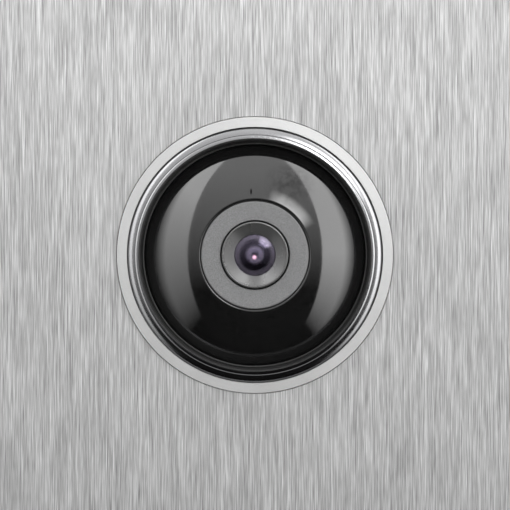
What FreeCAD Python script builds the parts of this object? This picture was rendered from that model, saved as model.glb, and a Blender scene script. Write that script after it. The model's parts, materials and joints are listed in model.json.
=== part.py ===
"""Wall-mounted video door station: a brushed steel front plate on a folded steel box, with an adjustable
eyeball camera, a loudspeaker, an illuminated call button, a microphone and the board that runs them.

Millimetres, +Z up, the front faces -Y. The origin is the centre of the face that rests on the wall.
Depths are counted backwards (+Y) from the front face of the plate, so a negative depth stands proud of it."""

import FreeCAD
import Part

import math
import os

V = FreeCAD.Vector

# ---- overall sizes
PLATE_W = 120.0            # X
PLATE_H = 240.0            # Z
PLATE_T = 3.0
PLATE_CORNER_R = 3.0
PLATE_EDGE = 0.4           # chamfer round the front face
CAMERA_FROM_TOP = 60.0     # plate's top edge to the camera's axis
BUTTON_FROM_BOTTOM = 40.0  # plate's bottom edge to the button's axis
MIC_FROM_BOTTOM = 18.0

# ---- box behind the plate
BOX_INSET = 1.0            # the plate overhangs the box by this much all round
BOX_WALL = 1.5
BOX_BACK = 2.0
BOX_LIP = 9.0              # width of the folded rim that carries the gasket
BOX_CORNER_R = 2.5
GASKET_T = 1.0
GASKET_W = 6.0
PILLAR = 12.0              # side of the square pillar in each corner
SCREW_INSET = 8.0          # plate's edge to a corner screw's axis
SCREW_R = 2.0              # M4
SCREW_HEAD_R = 4.0
SCREW_LENGTH = 16.0
WALL_HOLES_X = 80.0        # spacing of the four fixing holes
WALL_HOLE_TO_EDGE = 20.0   # plate's top or bottom edge to a fixing hole
WALL_HOLE_R = 2.75
DRAIN_R = 2.0
CABLE_FROM_BOTTOM = 20.0   # plate's bottom edge to the cable entry
CABLE_HOLE_R = 10.0
CABLE_BORE_R = 5.0
REAR_ROOM = 5.0            # camera housing to the box's back wall

# ---- eyeball camera: outside
SPHERE_R = 30.0            # the cap is part of this sphere, and turns about its centre
WINDOW_R = 20.0            # radius of the cap that shows
LIP_DEPTH = 1.0            # where the cap meets the seal
CAP_T = 2.0
TRAVEL = 10.0              # degrees of pan and of tilt, each way
CAP_MARGIN = 1.5           # degrees of cap still hidden at full travel
SEAL_W = 1.1               # seal's wall, from the cap to the retaining ring
SEAL_CLEAR = 0.08
RING_W = 2.0               # polished retaining ring
THREAD_GAP = 0.1
BEVEL_W = 1.8              # satin bevel of the bezel
BEVEL_LOW = 0.55           # how far the bevel's outer edge stands proud
BEVEL_HIGH = 0.9           # and its inner edge
BEZEL_GAP = 0.15
BEZEL_SEAT = 2.9           # depth of the ledge that the seal sits on
FLANGE_W = 5.2
FLANGE_T = 2.0
BEZEL_GASKET_T = 0.5
SPHERE_CLEAR = 0.3

# ---- eyeball camera: lens and its board
DISC_R = 9.65
DISC_GAP = 0.15
DISC_T = 2.0
DISC_INSET = 0.05
LENS_R = 6.0               # M12 lens barrel
LENS_GAP = 0.25            # lens barrel to the disc
LENS_PROUD = 0.5           # lens rim in front of the disc
LENS_LENGTH = 15.0
LENS_TRACK = 18.8          # lens front to the sensor's board
LENS_GLASS_R = 3.7
LENS_WALL_GAP = 0.05
LENS_BORE_R = 2.9          # behind the spacer
LENS_REAR_R = 2.4          # stop behind the rear glass
CONE_DEPTH = 1.7           # lens rim to the front glass's edge
HOLDER_WALL = 1.6
HOLDER_BASE = 16.0
CAMERA_BOARD = 24.0
CAMERA_BOARD_T = 1.2
BOARD_SCREW_INSET = 2.2    # camera board's edge to a screw's axis

# ---- eyeball camera: gimbal and housing
CARRIER_T = 2.0
COLLAR_R = 11.3
COLLAR_LENGTH = 10.0
GIMBAL_IN_R = 18.0
GIMBAL_W = 3.2
GIMBAL_T = 6.0
ARM_GAP = 1.8              # carrier arm to the gimbal ring
ARM_T = 2.0
ARM_W = 10.0
PIN_R = 1.25
PIN_CLEAR = 0.05
PIN_BOSS_R = 3.0
WASHER_T = 0.5
WASHER_GAP = 0.05
HOUSING_T = 2.0
HOUSING_GAP = 0.6
NECK_GAP = 1.3
NECK_BACK = 12.5           # pivot to the back of the neck
COVER_T = 2.0
EAR_R = 5.0
EAR_OUT = 5.5              # housing's outside to an ear's hole
STUD_R = 1.5               # M3
STUD_LENGTH = 9.0
NUT_AF = 5.5
NUT_T = 2.4
INNER_SCREW_R = 1.25       # M2.5, for the housing's cover and the main board
INNER_HEAD_R = 2.3
INNER_HEAD_T = 1.5
INNER_SCREW_LENGTH = 6.5
SMALL_SCREW_R = 1.0        # M2, for what moves with the camera
SMALL_HEAD_R = 1.8
SMALL_HEAD_T = 1.2
SMALL_SCREW_LENGTH = 4.5
SCREW_GAP = 0.15           # a screw's clearance in the hole it passes through

# ---- loudspeaker
SPEAKER_R = 20.0
SPEAKER_EAR_OUT = 4.0      # speaker's rim to a clamp's stud
GRILLE_R = 15.0
GRILLE_HOLE_R = 1.0
GRILLE_PITCH = 3.75
MEMBRANE_T = 0.2
SPEAKER_GASKET_T = 1.0

# ---- call button
BUTTON_BODY_R = 13.0
BUTTON_FLANGE_R = 15.5
BUTTON_FLANGE_T = 1.6
BUTTON_CAP_R = 9.2
LIGHT_RING_W = 1.5
BUTTON_TRAVEL = 0.9
BUTTON_DEPTH = 15.0
BUTTON_NUT_AF = 32.0
BUTTON_NUT_T = 3.5

# ---- main board
BOARD_W = 84.0
CAMERA_TO_BOARD = 54.0     # camera's axis to the board's top edge
BOARD_T = 1.6
BOARD_FROM_BOTTOM = 38.0   # plate's bottom edge to the board
STANDOFF = 6.0
BOARD_HOLE_INSET = 4.0
TERMINALS = 8
TERMINAL_PITCH = 5.0
LEAD_R = 0.9

# ---- places that follow from the sizes
PIVOT = LIP_DEPTH + math.sqrt(SPHERE_R ** 2 - WINDOW_R ** 2)     # depth of the sphere's centre
RING_IN_R = WINDOW_R + SEAL_W
RING_OUT_R = RING_IN_R + RING_W
BEVEL_IN_R = RING_OUT_R + THREAD_GAP
BEZEL_R = BEVEL_IN_R + BEVEL_W
FLANGE_R = BEZEL_R + FLANGE_W
FLANGE_FRONT = PLATE_T + BEZEL_GASKET_T
FLANGE_BACK = FLANGE_FRONT + FLANGE_T
SWING = math.hypot(TRAVEL, TRAVEL)                               # both joints at their limits
RIM_ANGLE = math.degrees(math.asin(WINDOW_R / SPHERE_R)) + SWING + CAP_MARGIN
SWEPT = math.radians(min(RIM_ANGLE + SWING, 90.0))
HOUSING_R = max(SPHERE_R * math.sin(SWEPT) + HOUSING_GAP, FLANGE_R - HOUSING_T)
SHOULDER = PIVOT - (SPHERE_R - CAP_T) * math.cos(SWEPT) + 2 * HOUSING_GAP
GIMBAL_OUT_R = GIMBAL_IN_R + GIMBAL_W
NECK_R = GIMBAL_OUT_R + NECK_GAP
NECK_END = PIVOT + NECK_BACK
EAR_AT = (HOUSING_R + HOUSING_T + EAR_OUT) / math.sqrt(2)
TOTAL_DEPTH = NECK_END + COVER_T + REAR_ROOM + BOX_BACK
FRONT_Y = -TOTAL_DEPTH
BOX_RIM = PLATE_T + GASKET_T                                     # depth of the box's front rim
BOX_FLOOR = TOTAL_DEPTH - BOX_BACK                               # depth of the box's inner back face

CAMERA_Z = PLATE_H / 2 - CAMERA_FROM_TOP
BUTTON_Z = -PLATE_H / 2 + BUTTON_FROM_BOTTOM
MIC_Z = -PLATE_H / 2 + MIC_FROM_BOTTOM
CABLE_Z = -PLATE_H / 2 + CABLE_FROM_BOTTOM
SPEAKER_Z = (CAMERA_Z - HOUSING_R - HOUSING_T + BUTTON_Z + BUTTON_FLANGE_R) / 2
SCREW_X = PLATE_W / 2 - SCREW_INSET
SCREW_Z = PLATE_H / 2 - SCREW_INSET
WALL_HOLE_Z = PLATE_H / 2 - WALL_HOLE_TO_EDGE
CORNERS = [(sx, sz) for sx in (-1, 1) for sz in (-1, 1)]

BOARD_BACK = BOX_FLOOR - STANDOFF
BOARD_FRONT = BOARD_BACK - BOARD_T
BOARD_BOTTOM = -PLATE_H / 2 + BOARD_FROM_BOTTOM
BOARD_TOP = CAMERA_Z - CAMERA_TO_BOARD

DISC_FRONT = PIVOT - math.sqrt(SPHERE_R ** 2 - (DISC_R + DISC_GAP) ** 2) + DISC_INSET
DISC_BACK = DISC_FRONT + DISC_T
LENS_FRONT = DISC_FRONT - LENS_PROUD
LENS_BACK = LENS_FRONT + LENS_LENGTH
CAMERA_BOARD_FRONT = LENS_FRONT + LENS_TRACK
CARRIER_FRONT = DISC_BACK + COLLAR_LENGTH
CARRIER_BACK = CARRIER_FRONT + CARRIER_T
ARM_OUT = GIMBAL_IN_R - ARM_GAP
ARM_IN = ARM_OUT - ARM_T


# ---- helpers: x and z are row-frame places, depths are counted from the plate's front face

def block(x0, x1, depth0, depth1, z0, z1):
    return Part.makeBox(x1 - x0, depth1 - depth0, z1 - z0, V(x0, FRONT_Y + depth0, z0))


def rod(x, z, radius, depth0, depth1):
    return Part.makeCylinder(radius, depth1 - depth0, V(x, FRONT_Y + depth0, z), V(0, 1, 0))


def pipe(x, z, outer, inner, depth0, depth1):
    return rod(x, z, outer, depth0, depth1).cut(rod(x, z, inner, depth0, depth1))


def cross_rod(radius, start, end):
    """A round rod between two points given as (x, depth, z)."""
    a = V(start[0], FRONT_Y + start[1], start[2])
    b = V(end[0], FRONT_Y + end[1], end[2])
    return Part.makeCylinder(radius, (b - a).Length, a, b - a)


def turned(x, z, outline):
    """Turns an outline about the line along Y through x, z. Each item is (radius, depth), the next corner,
    or ((radius, depth), (radius, depth)), an arc through the first point to the second."""
    def point(p):
        return V(x + p[0], FRONT_Y + p[1], z)
    here = outline[0]
    edges = []
    for item in outline[1:] + [outline[0]]:
        if isinstance(item[0], tuple):
            edges.append(Part.Arc(point(here), point(item[0]), point(item[1])).toShape())
            here = item[1]
        elif math.dist(here, item) > 1e-6:
            edges.append(Part.LineSegment(point(here), point(item)).toShape())
            here = item
    face = Part.Face(Part.Wire(edges))
    solid = face.revolve(V(x, 0, z), V(0, 1, 0), 360)
    return solid if solid.Volume > 0 else solid.reversed()


def dome(edge_r, edge_depth, centre_depth, outward=True):
    """Outline item for a spherical face between the axis and its edge, whose centre lies on the axis."""
    sag = edge_depth - centre_depth
    sphere = (edge_r ** 2 + sag ** 2) / (2 * sag)
    half = math.asin(edge_r / sphere) / 2
    middle = (sphere * math.sin(half), centre_depth + sphere * (1 - math.cos(half)))
    return (middle, (edge_r, edge_depth) if outward else (0, centre_depth))


def prism(corners, depth0, depth1):
    """A straight prism along Y from its (x, z) corners."""
    points = [V(x, FRONT_Y + depth0, z) for x, z in corners]
    face = Part.Face(Part.makePolygon(points + points[:1]))
    return face.extrude(V(0, depth1 - depth0, 0))


def hexagon(x, z, across_flats, depth0, depth1):
    radius = across_flats / math.sqrt(3)
    corners = [(x + radius * math.cos(math.radians(60 * k)), z + radius * math.sin(math.radians(60 * k)))
               for k in range(6)]
    return prism(corners, depth0, depth1)


def rounded_block(width, height, radius, depth0, depth1):
    """A block centred on the origin's X and Z, with its four edges along Y rounded."""
    shape = block(-width / 2, width / 2, depth0, depth1, -height / 2, height / 2)
    upright = [e for e in shape.Edges if abs(e.tangentAt(e.FirstParameter).y) > 0.9]
    return shape.makeFillet(radius, upright)


def round_edges(shape, radius, depth):
    """The circular edges of this radius at this depth."""
    return [e for e in shape.Edges
            if isinstance(e.Curve, Part.Circle) and abs(e.Curve.Radius - radius) < 0.01
            and abs(e.Curve.Center.y - FRONT_Y - depth) < 0.01]


def fuse(shapes):
    joined = shapes[0]
    for shape in shapes[1:]:
        joined = joined.fuse(shape)
    return joined.removeSplitter()


def cut(shape, tools):
    for tool in tools:
        shape = shape.cut(tool)
    return shape


def group(shapes):
    return Part.makeCompound(shapes)


def sphere_depth(radius, sphere=SPHERE_R):
    """Depth of the front of a sphere about the pivot, at this distance from the camera's axis."""
    return PIVOT - math.sqrt(sphere ** 2 - radius ** 2)


def sphere_radius(depth, sphere=SPHERE_R):
    return math.sqrt(sphere ** 2 - (PIVOT - depth) ** 2)


def routed(points, bend):
    """A wire through (x, depth, z) points, with an arc of radius bend at each corner."""
    spots = [V(x, FRONT_Y + d, z) for x, d, z in points]
    edges = []
    here = spots[0]
    for before, corner, after in zip(spots, spots[1:], spots[2:]):
        to_before = (before - corner).normalize()
        to_after = (after - corner).normalize()
        half = to_before.getAngle(to_after) / 2
        reach = bend / math.tan(half)
        start = corner + to_before * reach
        end = corner + to_after * reach
        inward = (to_before + to_after).normalize()
        middle = corner + inward * (bend / math.sin(half) - bend)
        if (start - here).Length > 1e-6:
            edges.append(Part.LineSegment(here, start).toShape())
        edges.append(Part.Arc(start, middle, end).toShape())
        here = end
    edges.append(Part.LineSegment(here, spots[-1]).toShape())
    return Part.Wire(edges)


def lead(points, bend, radius):
    """A round lead along a routed path."""
    path = routed(points, bend)
    first = path.OrderedEdges[0]
    direction = first.tangentAt(first.FirstParameter)
    ring = Part.Wire(Part.Circle(path.OrderedVertexes[0].Point, direction, radius).toShape())
    return path.makePipeShell([ring], True, False)


def ribbon(points, bend, thickness, width):
    """A flat ribbon centred on x = 0, whose path lies in the plane of depth and Z."""
    path = routed([(-width / 2, d, z) for d, z in points], bend)
    middle = path.makeOffset2D(thickness / 2, 0, False, True)
    face = middle.makeOffset2D(-thickness, 0, True, True)
    return face.extrude(V(width, 0, 0))


def pan_screw(x, z, radius, head_r, head_t, depth_head, length, forward=True):
    """A round-headed screw with a cross recess. The flat of its head is at depth_head. Its tip points to the
    front when forward is true, and to the back otherwise."""
    sign = -1 if forward else 1
    seat = depth_head
    top = depth_head - sign * head_t
    tip = depth_head + sign * length
    head = rod(x, z, head_r, min(seat, top), max(seat, top))
    head = head.makeFillet(head_t * 0.45, round_edges(head, head_r, top))
    recess = [block(x - a, x + a, min(top, top + sign * head_t * 0.5), max(top, top + sign * head_t * 0.5),
                    z - b, z + b)
              for a, b in ((head_r * 0.6, head_r * 0.13), (head_r * 0.13, head_r * 0.6))]
    return fuse([cut(head, recess), rod(x, z, radius, min(seat, tip), max(seat, tip))])


# ---- front plate and box

def grille_places():
    """Centres of the speaker's sound holes: a triangular grid inside a circle."""
    row_step = GRILLE_PITCH * math.sqrt(3) / 2
    rows = int(GRILLE_R / row_step)
    places = []
    for row in range(-rows, rows + 1):
        shift = GRILLE_PITCH / 2 if row % 2 else 0.0
        columns = int(GRILLE_R / GRILLE_PITCH) + 1
        for column in range(-columns, columns + 1):
            x = column * GRILLE_PITCH + shift
            if math.hypot(x, row * row_step) <= GRILLE_R:
                places.append((x, SPEAKER_Z + row * row_step))
    return places


def front_plate():
    """Steel plate with its openings, and the studs that are welded on its back."""
    plate = rounded_block(PLATE_W, PLATE_H, PLATE_CORNER_R, 0, PLATE_T)
    front = [e for e in plate.Edges if all(abs(v.Point.y - FRONT_Y) < 1e-6 for v in e.Vertexes)]
    plate = plate.makeChamfer(PLATE_EDGE, front)
    holes = [rod(0, CAMERA_Z, BEZEL_R + BEZEL_GAP, -1, PLATE_T + 1),
             rod(0, BUTTON_Z, BUTTON_BODY_R + BEZEL_GAP, -1, PLATE_T + 1),
             rod(0, MIC_Z, MIC_HOLE_R, -1, PLATE_T + 1)]
    holes += [rod(x, z, GRILLE_HOLE_R, -1, PLATE_T + 1) for x, z in grille_places()]
    for sx, sz in CORNERS:
        holes.append(countersunk(sx * SCREW_X, sz * SCREW_Z, SCREW_CLEAR_R, SCREW_HEAD_R + SCREW_HEAD_GAP))
    return fuse([cut(plate, holes)] + weld_studs())


SCREW_CLEAR_R = 2.2
SCREW_HEAD_GAP = 0.1
SCREW_RIM = 0.3            # height of the head's straight rim
MIC_HOLE_R = 0.75


def countersunk(x, z, shank_r, head_r):
    """The space of a countersunk hole: a short straight rim, a cone of 90 degrees, then the shank."""
    cone_end = SCREW_RIM + head_r - shank_r
    return turned(x, z, [(0, -1), (head_r, -1), (head_r, SCREW_RIM), (shank_r, cone_end),
                         (shank_r, PLATE_T + 1), (0, PLATE_T + 1)])


def plate_screws():
    """Four countersunk security screws, with a six-lobed recess that has a pin in its middle."""
    lobe_at, lobe_r, pin_r, recess = 1.25, 0.5, 0.55, 1.3
    screws = []
    for sx, sz in CORNERS:
        x, z = sx * SCREW_X, sz * SCREW_Z
        body = turned(x, z, [(0, 0), (SCREW_HEAD_R, 0), (SCREW_HEAD_R, SCREW_RIM),
                             (SCREW_R, SCREW_RIM + SCREW_HEAD_R - SCREW_R), (SCREW_R, SCREW_LENGTH),
                             (0, SCREW_LENGTH)])
        star = [rod(x, z, lobe_at, -1, recess)]
        for k in range(6):
            angle = math.radians(60 * k)
            star.append(rod(x + lobe_at * math.cos(angle), z + lobe_at * math.sin(angle), lobe_r, -1, recess))
        recess_space = fuse(star).cut(rod(x, z, pin_r, 0, recess))
        screws.append(body.cut(recess_space))
    return group(screws)


def stud_places():
    """Places of the studs on the back of the plate: four for the camera and four for the speaker."""
    places = [(sx * EAR_AT, CAMERA_Z + sz * EAR_AT) for sx, sz in CORNERS]
    clamp_at = (SPEAKER_R + SPEAKER_EAR_OUT) / math.sqrt(2)
    places += [(sx * clamp_at, SPEAKER_Z + sz * clamp_at) for sx, sz in CORNERS]
    return places


def weld_studs():
    """Threaded studs that stand on the back of the plate."""
    studs = []
    for x, z in stud_places():
        stud = rod(x, z, STUD_R, PLATE_T, PLATE_T + STUD_LENGTH)
        studs.append(stud.makeChamfer(0.3, round_edges(stud, STUD_R, PLATE_T + STUD_LENGTH)))
    return studs


def stud_nuts():
    """Nuts that hold the camera's housing and the speaker's clamp on the studs."""
    seats = [FLANGE_BACK + HOUSING_T] * 4 + [SPEAKER_CLAMP_BACK] * 4
    return group([hexagon(x, z, NUT_AF, seat, seat + NUT_T).cut(rod(x, z, STUD_R, 0, BOX_FLOOR))
                  for (x, z), seat in zip(stud_places(), seats)])


def panel_gasket():
    width = PLATE_W - 2 * BOX_INSET
    height = PLATE_H - 2 * BOX_INSET
    frame = rounded_block(width, height, BOX_CORNER_R, PLATE_T, BOX_RIM)
    hole = block(-width / 2 + GASKET_W, width / 2 - GASKET_W, 0, TOTAL_DEPTH,
                 -height / 2 + GASKET_W, height / 2 - GASKET_W)
    corners = [block(sx * SCREW_X - PILLAR / 2, sx * SCREW_X + PILLAR / 2, PLATE_T, BOX_RIM,
                     sz * SCREW_Z - PILLAR / 2, sz * SCREW_Z + PILLAR / 2)
               .common(rounded_block(width, height, BOX_CORNER_R, PLATE_T, BOX_RIM)) for sx, sz in CORNERS]
    holes = [rod(sx * SCREW_X, sz * SCREW_Z, SCREW_CLEAR_R, 0, TOTAL_DEPTH) for sx, sz in CORNERS]
    return cut(fuse([frame.cut(hole)] + corners), holes)


def back_box():
    """Folded steel box with a rim round its mouth, and the pillars that are welded in its corners."""
    width = PLATE_W - 2 * BOX_INSET
    height = PLATE_H - 2 * BOX_INSET
    outside = rounded_block(width, height, BOX_CORNER_R, BOX_RIM, TOTAL_DEPTH)
    inside = block(-width / 2 + BOX_WALL, width / 2 - BOX_WALL, BOX_RIM + BOX_WALL, BOX_FLOOR,
                   -height / 2 + BOX_WALL, height / 2 - BOX_WALL)
    mouth = block(-width / 2 + BOX_LIP, width / 2 - BOX_LIP, 0, BOX_FLOOR,
                  -height / 2 + BOX_LIP, height / 2 - BOX_LIP)
    holes = [rod(sx * WALL_HOLES_X / 2, sz * WALL_HOLE_Z, WALL_HOLE_R, BOX_FLOOR - 1, TOTAL_DEPTH + 1)
             for sx, sz in CORNERS]
    holes += [rod(sx * SCREW_X, sz * SCREW_Z, SCREW_CLEAR_R, 0, BOX_RIM + BOX_WALL) for sx, sz in CORNERS]
    holes.append(rod(0, CABLE_Z, CABLE_HOLE_R, BOX_FLOOR - 1, TOTAL_DEPTH + 1))
    drain_depth = BOX_FLOOR - 3 * DRAIN_R
    holes += [cross_rod(DRAIN_R, (sx * PLATE_W / 4, drain_depth, -PLATE_H / 2),
                        (sx * PLATE_W / 4, drain_depth, -height / 2 + 2 * BOX_WALL)) for sx in (-1, 1)]
    return fuse([cut(outside, [inside, mouth] + holes)] + corner_pillars())


def corner_pillars():
    """Square pillars, tapped for the plate's screws."""
    pillars = []
    for sx, sz in CORNERS:
        x, z = sx * SCREW_X, sz * SCREW_Z
        wall_x = PLATE_W / 2 - BOX_INSET - BOX_WALL
        wall_z = PLATE_H / 2 - BOX_INSET - BOX_WALL
        edge_x = sorted((x - sx * PILLAR / 2, sx * min(abs(x) + PILLAR / 2, wall_x)))
        edge_z = sorted((z - sz * PILLAR / 2, sz * min(abs(z) + PILLAR / 2, wall_z)))
        post = block(*edge_x, BOX_RIM + BOX_WALL, BOX_FLOOR, *edge_z)
        pillars.append(post.cut(rod(x, z, SCREW_R, 0, SCREW_LENGTH + 2 * SCREW_R)))
    return pillars


def cable_grommet():
    """A rubber ring in the back wall, with a groove that the wall's edge sits in."""
    lip, over = 1.5, 3.0
    return turned(0, CABLE_Z, [
        (CABLE_BORE_R, BOX_FLOOR - over), (CABLE_HOLE_R - over, BOX_FLOOR - over),
        (CABLE_HOLE_R + lip, BOX_FLOOR - lip), (CABLE_HOLE_R + lip, BOX_FLOOR), (CABLE_HOLE_R, BOX_FLOOR),
        (CABLE_HOLE_R, TOTAL_DEPTH), (CABLE_BORE_R, TOTAL_DEPTH)])


# ---- eyeball camera: fixed pieces

def camera_bezel():
    clear = SPHERE_R + SPHERE_CLEAR
    return turned(0, CAMERA_Z, [
        (BEZEL_R, -BEVEL_LOW), (BEVEL_IN_R, -BEVEL_HIGH), (BEVEL_IN_R, BEZEL_SEAT),
        (sphere_radius(BEZEL_SEAT, clear), BEZEL_SEAT), (sphere_radius(FLANGE_BACK, clear), FLANGE_BACK),
        (FLANGE_R, FLANGE_BACK), (FLANGE_R, FLANGE_FRONT), (BEZEL_R, FLANGE_FRONT)])


def bezel_gasket():
    return pipe(0, CAMERA_Z, FLANGE_R, BEZEL_R + BEZEL_GAP, PLATE_T, FLANGE_FRONT)


SEAL_FLANGE = 0.6          # depth of the front of the seal's flange
RING_CREST = 1.5           # how far the retaining ring stands proud


BEAD_W = 0.55              # retaining ring's inner bead
BEAD_FALL = 0.2            # how far the bead falls towards its outer edge
GROOVE_W = 0.15
GROOVE_DEEP = 0.3
BAND_FALL = 0.95           # depth of the band's outer edge behind the ring's crest


def retaining_ring():
    """Polished ring that screws into the bezel: a bead beside the seal, a narrow groove, then a wide rounded
    band. Both fall away outwards."""
    bead_r = RING_IN_R + BEAD_W
    band_r = bead_r + GROOVE_W
    band_start = BEAD_FALL + 0.05
    return turned(0, CAMERA_Z, [
        (RING_IN_R, SEAL_FLANGE), (RING_IN_R, -RING_CREST),
        ((RING_IN_R + BEAD_W / 2, 0.3 * BEAD_FALL - RING_CREST), (bead_r, BEAD_FALL - RING_CREST)),
        (bead_r, BEAD_FALL + GROOVE_DEEP - RING_CREST), (band_r, BEAD_FALL + GROOVE_DEEP - RING_CREST),
        (band_r, band_start - RING_CREST),
        (((band_r + RING_OUT_R) / 2, 0.65 * band_start + 0.35 * BAND_FALL - RING_CREST),
         (RING_OUT_R, BAND_FALL - RING_CREST)),
        (RING_OUT_R, SEAL_FLANGE)])


def ball_seal():
    """Rubber seal between the retaining ring and the cap. A thin bead on its lip runs round the cap."""
    touching = SPHERE_R + SEAL_CLEAR
    lip = WINDOW_R + SEAL_CLEAR
    bead = 0.4
    lip_top = sphere_depth(lip, touching) - 0.3
    flange_r = sphere_radius(BEZEL_SEAT, touching)
    middle = (lip + flange_r) / 2
    return turned(0, CAMERA_Z, [
        (lip, lip_top), ((lip + bead / 2, lip_top - bead / 2), (lip + bead, lip_top)),
        (RING_IN_R - 0.25, 0.6 - RING_CREST), (RING_IN_R, 0.6 - RING_CREST),
        (RING_IN_R, SEAL_FLANGE), (BEVEL_IN_R, SEAL_FLANGE), (BEVEL_IN_R, BEZEL_SEAT),
        (flange_r, BEZEL_SEAT),
        ((middle, sphere_depth(middle, touching)), (lip, sphere_depth(lip, touching)))])


def camera_housing():
    """Plastic cup behind the bezel. Its neck carries the pan pins, its ears go on the plate's studs."""
    outer = HOUSING_R + HOUSING_T
    neck_outer = NECK_R + HOUSING_T
    shoulder_back = SHOULDER + HOUSING_T
    body = [rod(0, CAMERA_Z, outer, FLANGE_BACK, shoulder_back),
            rod(0, CAMERA_Z, neck_outer, SHOULDER, NECK_END)]
    drills = []
    for sx, sz in CORNERS:
        for out, radius in ((1.0, EAR_R), (EAR_ROOT, EAR_R + EAR_FLARE)):
            body.append(rod(sx * EAR_AT * out, CAMERA_Z + sz * EAR_AT * out, radius,
                            FLANGE_BACK, FLANGE_BACK + HOUSING_T))
        drills.append(rod(sx * EAR_AT, CAMERA_Z + sz * EAR_AT, STUD_R + SCREW_GAP, 0, TOTAL_DEPTH))
    for x, z in cover_screw_places():
        body.append(rod(x, z, COVER_BOSS_R, SHOULDER, NECK_END))
        drills.append(rod(x, z, INNER_SCREW_R, NECK_END - INNER_SCREW_LENGTH, TOTAL_DEPTH))
    bosses = []
    for side in (-1, 1):
        pivot = (0, PIVOT, CAMERA_Z)
        boss_end = (0, PIVOT, CAMERA_Z + side * PAN_FACE)
        bosses.append(cross_rod(PIN_BOSS_R + 1, boss_end, (0, PIVOT, CAMERA_Z + side * neck_outer)))
        drills.append(cross_rod(PIN_R, pivot, (0, PIVOT, CAMERA_Z + side * TOTAL_DEPTH)))
    inside = [rod(0, CAMERA_Z, HOUSING_R, FLANGE_BACK, SHOULDER),
              rod(0, CAMERA_Z, NECK_R, SHOULDER, NECK_END)]
    return cut(fuse(body), [cut(fuse(inside), bosses)] + drills)


PAN_BOSS = 0.4             # flat boss on the gimbal ring under each pan washer
PAN_FACE = GIMBAL_OUT_R + PAN_BOSS + WASHER_T + 2 * WASHER_GAP
COVER_BOSS_R = 3.0
EAR_ROOT = 0.8             # the ear flares towards the cup from this share of its way out
EAR_FLARE = 1.5


def cover_screw_places():
    at = NECK_R + HOUSING_T + COVER_BOSS_R * 0.7
    angles = (0, 135, 225)
    return [(at * math.cos(math.radians(a)), CAMERA_Z + at * math.sin(math.radians(a))) for a in angles]


def housing_cover():
    """Lid on the back of the neck, with a slot for the camera's ribbon."""
    ears = [rod(x, z, COVER_BOSS_R, NECK_END, NECK_END + COVER_T) for x, z in cover_screw_places()]
    lid = fuse([rod(0, CAMERA_Z, NECK_R + HOUSING_T, NECK_END, NECK_END + COVER_T)] + ears)
    slot = block(-RIBBON_W / 2 - 1, RIBBON_W / 2 + 1, NECK_END - 1, NECK_END + COVER_T + 1,
                 RIBBON_Z - 1.5, RIBBON_Z + 1.5)
    holes = [rod(x, z, INNER_SCREW_R + SCREW_GAP, 0, TOTAL_DEPTH) for x, z in cover_screw_places()]
    return cut(lid, [slot] + holes)


def inner_screws():
    """Seven alike: three hold the cover on the camera's housing, four hold the main board."""
    seats = [(x, z, NECK_END + COVER_T, True) for x, z in cover_screw_places()]
    seats += [(x, z, BOARD_FRONT, False) for x, z in board_holes()]
    return group([pan_screw(x, z, INNER_SCREW_R, INNER_HEAD_R, INNER_HEAD_T, seat,
                            INNER_SCREW_LENGTH, forward) for x, z, seat, forward in seats])


def pan_pins():
    inner = GIMBAL_OUT_R - GIMBAL_W + 0.6
    outer = NECK_R + HOUSING_T
    return group([cross_rod(PIN_R, (0, PIVOT, CAMERA_Z + side * inner), (0, PIVOT, CAMERA_Z + side * outer))
                  for side in (-1, 1)])


# ---- eyeball camera: gimbal ring

def gimbal_ring():
    ring = pipe(0, CAMERA_Z, GIMBAL_OUT_R, GIMBAL_IN_R, PIVOT - GIMBAL_T / 2, PIVOT + GIMBAL_T / 2)
    bosses = []
    drills = []
    for side in (-1, 1):
        face = ARM_OUT + WASHER_T + 2 * WASHER_GAP
        bosses.append(cross_rod(PIN_BOSS_R - 0.2, (side * face, PIVOT, CAMERA_Z),
                                (side * (GIMBAL_IN_R + 1), PIVOT, CAMERA_Z)))
        drills.append(cross_rod(PIN_R, (0, PIVOT, CAMERA_Z), (side * TOTAL_DEPTH, PIVOT, CAMERA_Z)))
        top = CAMERA_Z + side * (GIMBAL_OUT_R + PAN_BOSS)
        bosses.append(cross_rod(PIN_BOSS_R - 0.2, (0, PIVOT, CAMERA_Z + side * (GIMBAL_IN_R + 1)),
                                (0, PIVOT, top)))
        drills.append(cross_rod(PIN_R + PIN_CLEAR, (0, PIVOT, CAMERA_Z),
                                (0, PIVOT, CAMERA_Z + side * TOTAL_DEPTH)))
    return cut(fuse([ring] + bosses), drills)


def tilt_pins():
    return group([cross_rod(PIN_R, (side * (ARM_IN - 0.5), PIVOT, CAMERA_Z),
                            (side * GIMBAL_OUT_R, PIVOT, CAMERA_Z)) for side in (-1, 1)])


def friction_washers():
    """Spring washers that hold the camera where it is set: two on the tilt pins and two on the pan pins."""
    washers = []
    for side in (-1, 1):
        start = ARM_OUT + 2 * WASHER_GAP
        disc = cross_rod(PIN_BOSS_R - 0.4, (side * start, PIVOT, CAMERA_Z),
                         (side * (start + WASHER_T), PIVOT, CAMERA_Z))
        washers.append(disc.cut(cross_rod(PIN_R + PIN_CLEAR, (0, PIVOT, CAMERA_Z),
                                          (side * TOTAL_DEPTH, PIVOT, CAMERA_Z))))
        start = GIMBAL_OUT_R + PAN_BOSS
        disc = cross_rod(PIN_BOSS_R - 0.4, (0, PIVOT, CAMERA_Z + side * start),
                         (0, PIVOT, CAMERA_Z + side * (start + WASHER_T)))
        washers.append(disc.cut(cross_rod(PIN_R + PIN_CLEAR, (0, PIVOT, CAMERA_Z),
                                          (0, PIVOT, CAMERA_Z + side * TOTAL_DEPTH))))
    return group(washers)


# ---- eyeball camera: what tilts

CAP_BOSS_AT = 16.5
CAP_BOSS_R = 2.2
CARRIER_R = 20.0
POST_R = 1.9


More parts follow.
